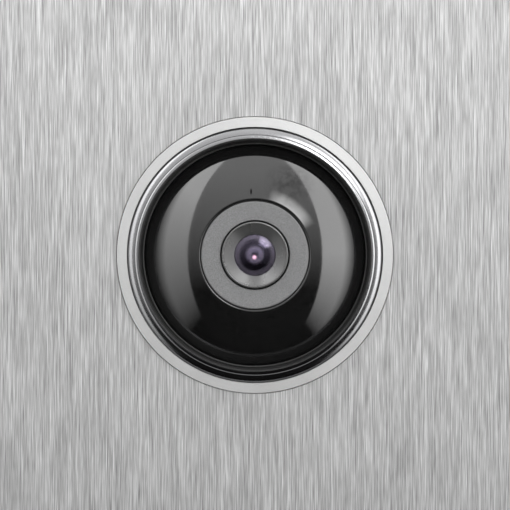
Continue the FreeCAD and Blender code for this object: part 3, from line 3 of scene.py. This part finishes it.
import bmesh
import bpy
import json
import math
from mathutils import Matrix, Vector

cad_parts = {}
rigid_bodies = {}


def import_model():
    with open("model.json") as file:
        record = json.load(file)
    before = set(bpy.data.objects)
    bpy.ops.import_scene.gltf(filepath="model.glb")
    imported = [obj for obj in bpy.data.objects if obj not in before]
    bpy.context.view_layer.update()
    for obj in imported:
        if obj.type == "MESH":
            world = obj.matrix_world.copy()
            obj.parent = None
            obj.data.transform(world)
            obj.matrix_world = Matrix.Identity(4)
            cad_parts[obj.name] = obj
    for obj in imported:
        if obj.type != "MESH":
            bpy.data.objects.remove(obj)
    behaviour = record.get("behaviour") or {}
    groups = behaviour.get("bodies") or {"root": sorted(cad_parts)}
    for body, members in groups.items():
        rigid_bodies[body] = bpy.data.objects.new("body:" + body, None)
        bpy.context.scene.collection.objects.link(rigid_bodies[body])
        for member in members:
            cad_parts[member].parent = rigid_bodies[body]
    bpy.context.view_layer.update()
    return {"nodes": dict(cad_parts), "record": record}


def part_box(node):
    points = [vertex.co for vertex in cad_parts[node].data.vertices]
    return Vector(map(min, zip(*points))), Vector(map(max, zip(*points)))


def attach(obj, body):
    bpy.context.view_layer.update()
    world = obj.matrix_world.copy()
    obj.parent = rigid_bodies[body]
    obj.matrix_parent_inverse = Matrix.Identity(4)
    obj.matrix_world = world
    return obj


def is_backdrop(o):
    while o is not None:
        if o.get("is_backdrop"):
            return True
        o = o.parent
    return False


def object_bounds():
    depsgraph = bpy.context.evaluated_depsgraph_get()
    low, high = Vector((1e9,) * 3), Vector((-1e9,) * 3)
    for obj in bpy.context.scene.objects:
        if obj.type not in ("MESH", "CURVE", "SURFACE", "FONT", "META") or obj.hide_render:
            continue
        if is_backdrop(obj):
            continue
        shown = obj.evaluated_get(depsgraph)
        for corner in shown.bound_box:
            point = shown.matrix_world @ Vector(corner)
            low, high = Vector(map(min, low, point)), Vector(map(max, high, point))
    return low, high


for leftover in list(bpy.data.objects):
    bpy.data.objects.remove(leftover)
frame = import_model()
node = frame["nodes"]

# ---- sizes: lengths in metres, angles in degrees
MM = 0.001
RING_PITCH = 2.2 * MM           # from one painted light ring in the lens to the next
BELL_UNIT = 0.23                # unit of the bell's outlines, as a share of the button's width
BELL_INSET = 0.22 * MM          # the bell's front, behind the foremost point of the button
BELL_THICK = 0.12 * MM
SIDE_PANEL_RISE = 1.6           # middle of the side panels above the camera's axis
SIDE_PANEL_HALF_H = 5.0
KEY_STRENGTH = 11.0
KEY_OFF_AXIS = 41               # angle between the camera's axis and the way to the key panel's middle
KEY_TURN = 52                   # where the key panel lies round that axis, counted up from the right
KEY_HALF_W = 0.42
KEY_HALF_H = 0.24
STAGE_R = 6.0                   # floor
FIELD = 92.4 * MM               # width that the camera sees at the plate's front
DISTANCE = 0.60                 # from the camera to the plate's front
SENSOR_W = 36.0                 # in millimetres, as the camera data counts it


# ---- node helpers

def empty_material(name):
    """A material, its tree, and the socket that takes its surface."""
    material = bpy.data.materials.new(name)
    material.use_nodes = True
    tree = material.node_tree
    tree.nodes.clear()
    output = tree.nodes.new("ShaderNodeOutputMaterial")
    return material, tree, output.inputs["Surface"]


def new_material(name):
    """A material with the principled shader."""
    material, tree, surface = empty_material(name)
    shader = tree.nodes.new("ShaderNodeBsdfPrincipled")
    tree.links.new(shader.outputs[0], surface)
    return material, tree, shader


def add(tree, kind, inputs=None, **settings):
    """A node with its settings and inputs. An input that is a socket is linked; anything else is a value."""
    made = tree.nodes.new(kind)
    for key, value in settings.items():
        setattr(made, key, value)
    for key, value in (inputs or {}).items():
        if isinstance(value, bpy.types.NodeSocket):
            tree.links.new(value, made.inputs[key])
        else:
            made.inputs[key].default_value = value
    return made


def place(tree):
    """Row-frame coordinates in metres."""
    return add(tree, "ShaderNodeTexCoord").outputs["Object"]


def noise(tree, cell_mm, detail=3.0, rough=0.55):
    """Noise whose features measure about cell_mm, a number or one number for each axis."""
    cells = cell_mm if isinstance(cell_mm, (tuple, list)) else (cell_mm,) * 3
    scale = tuple(1000.0 / c for c in cells)
    moved = add(tree, "ShaderNodeMapping", {"Vector": place(tree), "Scale": scale})
    made = add(tree, "ShaderNodeTexNoise", {"Vector": moved.outputs[0], "Scale": 1.0, "Detail": detail,
                                            "Roughness": rough})
    return made.outputs[0]


def spread(tree, value, low, high, start=0.3, end=0.7):
    """Maps a value from start..end to low..high."""
    made = add(tree, "ShaderNodeMapRange", {"Value": value, "From Min": start, "From Max": end,
                                            "To Min": low, "To Max": high})
    return made.outputs[0]


def math_node(tree, operation, a, b=0.0):
    return add(tree, "ShaderNodeMath", {0: a, 1: b}, operation=operation).outputs[0]


def vector(tree, operation, a, b):
    """A vector made from two others."""
    return add(tree, "ShaderNodeVectorMath", {0: a, 1: b}, operation=operation).outputs[0]


def measure(tree, operation, a, b=(0.0, 0.0, 0.0)):
    """A number read off two vectors: LENGTH (of the first), DISTANCE or DOT_PRODUCT."""
    return add(tree, "ShaderNodeVectorMath", {0: a, 1: b}, operation=operation).outputs[1]


def shade(tree, colour, factor):
    """The colour times a factor that varies over the surface."""
    made = add(tree, "ShaderNodeVectorMath", {0: colour, 3: factor}, operation="SCALE")
    return made.outputs[0]


def bumped(tree, shader, height, distance_mm, strength=1.0):
    made = add(tree, "ShaderNodeBump", {"Height": height, "Distance": distance_mm * MM, "Strength": strength})
    tree.links.new(made.outputs[0], shader.inputs["Normal"])


def link(tree, output, shader, name):
    tree.links.new(output, shader.inputs[name])


# ---- materials

def brushed_steel(name, colour, rough, contrast=0.58, along=(0.09, 0.09, 6.0), bump=0.003, anisotropic=0.75):
    """Steel with fine straight brush lines along Z."""
    material, tree, shader = new_material(name)
    shader.inputs["Metallic"].default_value = 1.0
    fine = noise(tree, along, 2.0, 0.6)
    broad = noise(tree, tuple(c * 2.6 for c in along), 2.0, 0.5)
    lines = math_node(tree, "ADD", math_node(tree, "MULTIPLY", fine, 0.85),
                      math_node(tree, "MULTIPLY", broad, 0.15))
    stain = noise(tree, 35.0, 2.0)
    tone = math_node(tree, "MULTIPLY", spread(tree, lines, 1.0 - contrast, 1.0 + contrast),
                     spread(tree, stain, 0.985, 1.015))
    link(tree, shade(tree, colour, tone), shader, "Base Color")
    link(tree, spread(tree, lines, rough - 0.06, rough + 0.06), shader, "Roughness")
    shader.inputs["Anisotropic"].default_value = anisotropic
    tangent = add(tree, "ShaderNodeTangent", direction_type="RADIAL", axis="Z")
    link(tree, tangent.outputs[0], shader, "Tangent")
    bumped(tree, shader, lines, bump)
    return material


def turned_metal(name, colour, rough, grain_mm=0.15, contrast=0.04, bump=0.001, metallic=1.0):
    """Metal with a fine satin or polished grain and a little wear. A blasted one is less metallic."""
    material, tree, shader = new_material(name)
    shader.inputs["Metallic"].default_value = metallic
    grain = noise(tree, grain_mm, 3.0)
    wear = noise(tree, 6.0, 4.0)
    tone = math_node(tree, "MULTIPLY", spread(tree, grain, 1.0 - contrast, 1.0 + contrast),
                     spread(tree, wear, 0.97, 1.02))
    link(tree, shade(tree, colour, tone), shader, "Base Color")
    link(tree, spread(tree, wear, rough * 0.85, rough * 1.2), shader, "Roughness")
    bumped(tree, shader, grain, bump)
    return material


def plastic(name, colour, rough, grain_mm=0.4, contrast=0.08, bump=0.01, ior=1.5, coat=0.0):
    """Moulded plastic, rubber, film or lacquer with a fine texture."""
    material, tree, shader = new_material(name)
    shader.inputs["IOR"].default_value = ior
    shader.inputs["Coat Weight"].default_value = coat
    grain = noise(tree, grain_mm, 4.0)
    wear = noise(tree, 14.0, 3.0)
    tone = math_node(tree, "MULTIPLY", spread(tree, grain, 1.0 - contrast, 1.0 + contrast),
                     spread(tree, wear, 0.95, 1.05))
    link(tree, shade(tree, colour, tone), shader, "Base Color")
    link(tree, spread(tree, wear, rough * 0.88, min(rough * 1.12, 1.0)), shader, "Roughness")
    bumped(tree, shader, grain, bump)
    return material


cap_low, cap_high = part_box("camera_cap")
CAMERA_X = (cap_low.x + cap_high.x) / 2
CAMERA_Z = (cap_low.z + cap_high.z) / 2
PLATE_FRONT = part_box("front_plate")[0].y
WINDOW_MIDDLE = (CAMERA_X, PLATE_FRONT, CAMERA_Z)


def gloss_cap():
    """Black gloss cap with a faint smear, a thumb mark, and a tiny index mark above the disc."""
    material, tree, shader = new_material("cap_gloss")
    shader.inputs["IOR"].default_value = 1.62
    smear = noise(tree, (9.0, 9.0, 5.0), 4.0)
    dust = noise(tree, 0.5, 4.0)
    middle = (CAMERA_X - 0.7 * MM, PLATE_FRONT - 4 * MM, CAMERA_Z + 11.4 * MM)
    away = vector(tree, "SUBTRACT", place(tree), middle)
    off_mark = measure(tree, "LENGTH", vector(tree, "MULTIPLY", away, (4.0, 0.0, 1.3)))
    mark = spread(tree, off_mark, 1.0, 0.0, 0.5 * MM, 0.9 * MM)
    thumb = (CAMERA_X + 6.3 * MM, PLATE_FRONT - 3 * MM, CAMERA_Z + 12.8 * MM)
    off_thumb = measure(tree, "DISTANCE", place(tree), thumb)
    smudge = math_node(tree, "MULTIPLY", spread(tree, off_thumb, 1.0, 0.0, 1.0 * MM, 5.0 * MM),
                       spread(tree, noise(tree, 1.2, 5.0), 0.2, 1.0, 0.4, 0.6))
    link(tree, shade(tree, (0.003, 0.003, 0.003), spread(tree, dust, 0.5, 1.8)), shader, "Base Color")
    level = math_node(tree, "ADD", spread(tree, smear, 0.04, 0.085), math_node(tree, "MULTIPLY", mark, 0.4))
    link(tree, level, shader, "Roughness")
    shine = math_node(tree, "SUBTRACT", spread(tree, mark, 0.5, 0.05, 0.0, 1.0),
                      math_node(tree, "MULTIPLY", smudge, 0.22))
    link(tree, shine, shader, "Specular IOR Level")
    bumped(tree, shader, dust, 0.0004)
    return material


def coated_glass(name, tint, film, body=0.5):
    """Lens glass whose coating gives a coloured reflection. Light caught between the glasses is painted in as
    painted reflections: a faint diffuse layer of concentric bands and a small warm dot."""
    material, tree, surface = empty_material(name)
    grain = noise(tree, 1.5, 3.0)
    tinted = shade(tree, tint, spread(tree, grain, 0.9, 1.0))
    through = add(tree, "ShaderNodeBsdfTransparent", {"Color": tinted})
    away = vector(tree, "SUBTRACT", place(tree), WINDOW_MIDDLE)
    ring = add(tree, "ShaderNodeTexWave", {"Vector": away, "Scale": 2 * math.pi / (20 * RING_PITCH)},
               wave_type="RINGS", rings_direction="Y").outputs[1]
    # the same ring pattern varies how strongly the coating reflects
    ringed = shade(tree, film, spread(tree, ring, 0.35, 1.1, 0.0, 1.0))
    shine = add(tree, "ShaderNodeBsdfGlossy", {"Color": ringed, "Roughness": spread(tree, grain, 0.01, 0.04)})
    flat_way = vector(tree, "MULTIPLY", away, (1.0, 0.0, 1.0))
    off_painted_spot = measure(tree, "DISTANCE", flat_way, (-0.1 * MM, 0.0, -0.4 * MM))
    # painted reflections: faint concentric bands and a small warm dot off the middle, painted into a diffuse
    # layer, stand for light caught between the glasses
    painted_rings = shade(tree, (0.034, 0.030, 0.040), spread(tree, ring, 0.05, 1.0, 0.3, 1.0))
    painted_spot = shade(tree, (0.42, 0.24, 0.30), spread(tree, off_painted_spot, 1.0, 0.0, 0.15 * MM, 0.55 * MM))
    painted_reflections = add(tree, "ShaderNodeBsdfDiffuse", {"Color": vector(tree, "ADD", painted_rings, painted_spot)})
    edge = add(tree, "ShaderNodeFresnel", {"IOR": 1.6})
    amount = math_node(tree, "MULTIPLY", edge.outputs[0], body * 4.0)
    mixed = add(tree, "ShaderNodeMixShader", {0: math_node(tree, "MINIMUM", amount, 1.0),
                                              1: through.outputs[0], 2: shine.outputs[0]})
    both = add(tree, "ShaderNodeAddShader", {0: mixed.outputs[0], 1: painted_reflections.outputs[0]})
    tree.links.new(both.outputs[0], surface)
    return material


def lit_ring():
    """Milky ring lit from behind, a little brighter by each light."""
    material, tree, shader = new_material("light_ring")
    glow = noise(tree, 5.0, 2.0)
    milky = shade(tree, (0.50, 0.54, 0.60), spread(tree, noise(tree, 0.6), 0.95, 1.03))
    link(tree, milky, shader, "Base Color")
    shader.inputs["Roughness"].default_value = 0.35
    shader.inputs["Subsurface Weight"].default_value = 0.2
    shader.inputs["Subsurface Radius"].default_value = (0.001, 0.001, 0.001)
    shader.inputs["Emission Color"].default_value = (0.55, 0.75, 1.0, 1.0)
    link(tree, spread(tree, glow, 0.15, 0.35), shader, "Emission Strength")
    bumped(tree, shader, noise(tree, 0.3), 0.004)
    return material


def mesh_cloth():
    """Fine woven black mesh."""
    material, tree, shader = new_material("membrane")
    waves = [add(tree, "ShaderNodeTexWave", {"Vector": place(tree), "Scale": 900.0, "Distortion": 0.4},
                 bands_direction=axis).outputs[1] for axis in ("X", "Z")]
    weave = math_node(tree, "MULTIPLY", waves[0], waves[1])
    link(tree, shade(tree, (0.02, 0.02, 0.02), spread(tree, weave, 0.5, 1.6, 0.0, 1.0)), shader, "Base Color")
    shader.inputs["Roughness"].default_value = 0.8
    bumped(tree, shader, weave, 0.05)
    return material


def circuit_board():
    """Green lacquer over copper tracks."""
    material, tree, shader = new_material("circuit_board")
    tracks = add(tree, "ShaderNodeTexVoronoi", {"Vector": place(tree), "Scale": 420.0},
                 distance="MANHATTAN").outputs["Distance"]
    on_track = spread(tree, tracks, 1.35, 0.85, 0.25, 0.4)
    link(tree, shade(tree, (0.015, 0.13, 0.05), on_track), shader, "Base Color")
    shader.inputs["Roughness"].default_value = 0.3
    shader.inputs["Coat Weight"].default_value = 0.4
    bumped(tree, shader, on_track, 0.01)
    return material


SLOTS = {
    "plate": lambda: brushed_steel("plate", (0.565, 0.565, 0.565), 0.42),
    "steel": lambda: brushed_steel("steel", (0.42, 0.42, 0.42), 0.40, 0.15, (0.3, 0.3, 9.0), 0.002, 0.5),
    "fasteners": lambda: turned_metal("fasteners", (0.62, 0.62, 0.63), 0.22),
    "satin_ring": lambda: turned_metal("satin_ring", (0.37, 0.37, 0.37), 0.50, 0.12, 0.05, 0.002, 0.45),
    "polished_ring": lambda: turned_metal("polished_ring", (0.235, 0.235, 0.24), 0.19, 0.3, 0.02, 0.0005),
    "seal_rubber": lambda: plastic("seal_rubber", (0.012, 0.012, 0.012), 0.55, 0.3),
    "cap_gloss": gloss_cap,
    "disc": lambda: plastic("disc", (0.100, 0.100, 0.102), 0.62, 0.16, 0.35, 0.03),
    "lens_metal": lambda: turned_metal("lens_metal", (0.11, 0.11, 0.11), 0.26, 0.1, 0.10, 0.002, 0.7),
    "lens_glass": lambda: coated_glass("lens_glass", (0.72, 0.70, 0.78), (0.60, 0.54, 0.72), 0.38),
    "inner_plastic": lambda: plastic("inner_plastic", (0.03, 0.03, 0.03), 0.5),
    "brass_parts": lambda: turned_metal("brass_parts", (0.72, 0.52, 0.22), 0.25),
    "circuit_board": circuit_board,
    "components": lambda: plastic("components", (0.03, 0.03, 0.032), 0.45, 0.5),
    "sensor": lambda: plastic("sensor", (0.02, 0.02, 0.04), 0.15, 0.2, 0.3, 0.002, 1.6, 0.5),
    "ribbon": lambda: plastic("ribbon", (0.45, 0.20, 0.03), 0.35, (0.8, 0.8, 30.0), 0.2),
    "leads": lambda: plastic("leads", (0.45, 0.02, 0.02), 0.4),
    "cone": lambda: plastic("cone", (0.03, 0.03, 0.03), 0.4, 0.8),
    "membrane": mesh_cloth,
    "magnet": lambda: plastic("magnet", (0.05, 0.05, 0.05), 0.6, 0.3, 0.3, 0.03),
    "coil": lambda: turned_metal("coil", (0.60, 0.26, 0.10), 0.3, (3.0, 0.12, 3.0), 0.2, 0.01),
    "light_ring": lit_ring,
    "terminal_green": lambda: plastic("terminal_green", (0.02, 0.25, 0.09), 0.45),
    "tin": lambda: turned_metal("tin", (0.66, 0.66, 0.65), 0.3, 0.5, 0.05),
}


def put(piece, material):
    piece.data.materials.clear()
    piece.data.materials.append(material)


slot_of = {entry["node"]: entry["material_slot"] for entry in frame["record"]["subparts"]}
finish_of = {slot: make() for slot, make in SLOTS.items()}
for name, piece in node.items():
    put(piece, finish_of[slot_of[name]])


def solid(name, mesh, material):
    """An object made from an edit mesh."""
    data = bpy.data.meshes.new(name)
    mesh.to_mesh(data)
    mesh.free()
    piece = bpy.data.objects.new(name, data)
    bpy.context.collection.objects.link(piece)
    put(piece, material)
    return piece


# ---- trim on the call button

def bell_body(steps=24):
    """Outline of the bell's body: a dome that flares towards its mouth."""
    mouth, tall, narrow, flare, shoulder = -0.55, 1.35, 0.42, 0.22, 0.75
    outline = []
    for k in range(steps + 1):
        turn = k / steps * math.pi
        height = mouth + tall * math.sin(turn)
        width = narrow + flare * max(0.0, 1.0 - (height - mouth) / 0.5) ** 2
        side = math.cos(turn)
        reach = width * (1.0 if abs(side) > shoulder else math.sqrt(abs(side) / shoulder))
        outline.append((math.copysign(reach, side), height))
    return outline


def bell_rim():
    return [(-0.8, -0.62), (0.8, -0.62), (0.8, -0.74), (-0.8, -0.74)]


def bell_clapper(steps=12):
    """Half a disc under the rim."""
    turns = [math.pi * k / steps for k in range(steps + 1)]
    return [(0.2 * math.cos(turn), -0.82 - 0.2 * math.sin(turn)) for turn in turns]


def bell_symbol():
    """A small bell printed on the button: body, rim and clapper, as thin flat pieces."""
    low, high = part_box("button_cap")
    centre_z = (low.z + high.z) / 2
    front = low.y + BELL_INSET
    size = (high.x - low.x) * BELL_UNIT
    mesh = bmesh.new()

    def flat(points):
        faces = []
        for depth in (front, front + BELL_THICK):
            corners = [mesh.verts.new((x * size, depth, centre_z + z * size)) for x, z in points]
            faces.append(mesh.faces.new(corners))
        count = len(points)
        for k in range(count):
            a, b = faces[0].verts[k], faces[0].verts[(k + 1) % count]
            c, d = faces[1].verts[(k + 1) % count], faces[1].verts[k]
            mesh.faces.new((a, b, c, d))

    for outline in (bell_body(), bell_rim(), bell_clapper()):
        flat(outline)
    bmesh.ops.recalc_face_normals(mesh, faces=mesh.faces)
    piece = solid("bell_symbol", mesh, plastic("bell_ink", (0.03, 0.03, 0.035), 0.5, 0.2))
    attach(piece, "call_button")


bell_symbol()


# ---- studio

def panel(name, centre, across, up, level, clear=False):
    """Flat glowing panel spanned by two half-size vectors. level(tree) gives its strength. A clear one also
    shows what is behind it."""
    mesh = bmesh.new()
    corners = [tuple(centre[k] + i * across[k] + j * up[k] for k in range(3))
               for i, j in ((-1, -1), (1, -1), (1, 1), (-1, 1))]
    mesh.faces.new([mesh.verts.new(c) for c in corners])
    material, tree, surface = empty_material(name)
    light = add(tree, "ShaderNodeEmission", {"Strength": level(tree)})
    if clear:
        through = add(tree, "ShaderNodeBsdfTransparent")
        light = add(tree, "ShaderNodeAddShader", {0: light.outputs[0], 1: through.outputs[0]})
    tree.links.new(light.outputs[0], surface)
    piece = solid(name, mesh, material)
    piece.visible_camera = False
    piece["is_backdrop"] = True


def tangent(degrees):
    return math.tan(math.radians(degrees))


def side_panel(name, side, strength, low, high, inner=49.0, soft=67.0, outer=77.0, away=1.0):
    """Tall panel beside the object, parallel to the viewing axis, from the angle inner to the angle outer off
    that axis, fading between soft and outer. It is dark at the height low above the camera's axis and fully
    bright at high."""
    def ahead(angle):
        return PLATE_FRONT - away / tangent(angle)

    def level(tree):
        along = add(tree, "ShaderNodeSeparateXYZ", {0: place(tree)})
        upward = spread(tree, along.outputs[2], 0.0, strength, CAMERA_Z + low, CAMERA_Z + high)
        fade = spread(tree, along.outputs[1], 1.0, 0.0, ahead(soft), ahead(outer))
        return math_node(tree, "MULTIPLY", upward, fade)

    centre = (CAMERA_X + side * away, (ahead(inner) + ahead(outer)) / 2, CAMERA_Z + SIDE_PANEL_RISE)
    half_depth = (ahead(outer) - ahead(inner)) / 2
    panel(name, centre, (0, half_depth, 0), (0, 0, SIDE_PANEL_HALF_H), level)


def key_panel():
    """Soft curved strip up to the right, which lights the lens and the edge of the disc. It is one metre from
    the window. Its outline comes from how far a point lies off the camera's axis, and round it."""
    off_axis, turn = math.radians(KEY_OFF_AXIS), math.radians(KEY_TURN)
    toward = (math.cos(turn), 0, math.sin(turn))
    centre = (CAMERA_X + math.sin(off_axis) * toward[0], PLATE_FRONT - math.cos(off_axis),
              CAMERA_Z + math.sin(off_axis) * toward[2])
    across = (-KEY_HALF_W * toward[2], 0, KEY_HALF_W * toward[0])
    tilted = KEY_HALF_H * math.cos(off_axis)
    up = (tilted * toward[0], KEY_HALF_H * math.sin(off_axis), tilted * toward[2])

    def level(tree):
        away = vector(tree, "SUBTRACT", place(tree), WINDOW_MIDDLE)
        flat_way = vector(tree, "MULTIPLY", away, (1, 0, 1))
        reach = measure(tree, "LENGTH", flat_way)
        steep = math_node(tree, "DIVIDE", reach, measure(tree, "DOT_PRODUCT", away, (0, -1, 0)))
        turned_by = math_node(tree, "DIVIDE", measure(tree, "DOT_PRODUCT", flat_way, toward), reach)
        near_fade = spread(tree, steep, 0.0, 1.0, tangent(29), tangent(32))
        far_fade = spread(tree, steep, KEY_STRENGTH, 0.0, tangent(39), tangent(50))
        turn_fade = spread(tree, turned_by, 0.0, 1.0, math.cos(math.radians(25)), math.cos(math.radians(12)))
        return math_node(tree, "MULTIPLY", math_node(tree, "MULTIPLY", near_fade, far_fade), turn_fade)

    panel("panel_key", centre, across, up, level, True)


side_panel("panel_left", -1, 5.0, -1.2, 1.0)
side_panel("panel_right", 1, 5.0, -1.4, 0.05)
key_panel()


def world():
    """Soft light that comes mostly from above and fades to almost nothing below."""
    made = bpy.data.worlds.new("studio")
    made.use_nodes = True
    tree = made.node_tree
    tree.nodes.clear()
    output = tree.nodes.new("ShaderNodeOutputWorld")
    direction = add(tree, "ShaderNodeTexCoord").outputs["Generated"]
    height = add(tree, "ShaderNodeSeparateXYZ", {0: direction}).outputs[2]
    level = spread(tree, height, 0.02, 2.45, -0.40, 0.88)
    background = add(tree, "ShaderNodeBackground", {"Strength": level})
    tree.links.new(background.outputs[0], output.inputs["Surface"])
    bpy.context.scene.world = made


world()


def pale_floor():
    """Plain floor just under the part. The steel does not mirror it."""
    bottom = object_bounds()[0][2]
    mesh = bmesh.new()
    bmesh.ops.create_circle(mesh, cap_ends=True, radius=STAGE_R, segments=96)
    floor = solid("floor", mesh, plastic("floor", (0.78, 0.78, 0.77), 0.7, 8.0, 0.02, 0.05))
    floor.location = (0, 0, bottom - 0.5 * MM)
    floor.visible_glossy = False
    floor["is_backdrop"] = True


def backdrop():
    """Pale surround that only the camera sees."""
    mesh = bmesh.new()
    bmesh.ops.create_uvsphere(mesh, u_segments=48, v_segments=24, radius=STAGE_R - 0.1)
    material, tree, surface = empty_material("backdrop")
    glow = add(tree, "ShaderNodeEmission", {"Color": (0.80, 0.80, 0.80, 1.0),
                                            "Strength": spread(tree, noise(tree, 900.0), 0.98, 1.02)})
    tree.links.new(glow.outputs[0], surface)
    piece = solid("backdrop", mesh, material)
    for way in ("diffuse", "glossy", "transmission", "volume_scatter", "shadow"):
        setattr(piece, "visible_" + way, False)
    piece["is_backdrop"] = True


pale_floor()
backdrop()

# ---- camera: square on to the camera window, far enough away to look almost flat

camera_data = bpy.data.cameras.new("camera")
camera_data.sensor_width = SENSOR_W
camera_data.lens = SENSOR_W * DISTANCE / FIELD
camera_data.clip_start = 0.01
camera = bpy.data.objects.new("camera", camera_data)
camera.location = (CAMERA_X, PLATE_FRONT - DISTANCE, CAMERA_Z)
camera.rotation_euler = (math.radians(90), 0, 0)
bpy.context.collection.objects.link(camera)
bpy.context.scene.camera = camera
bpy.context.scene.view_settings.view_transform = "Standard"
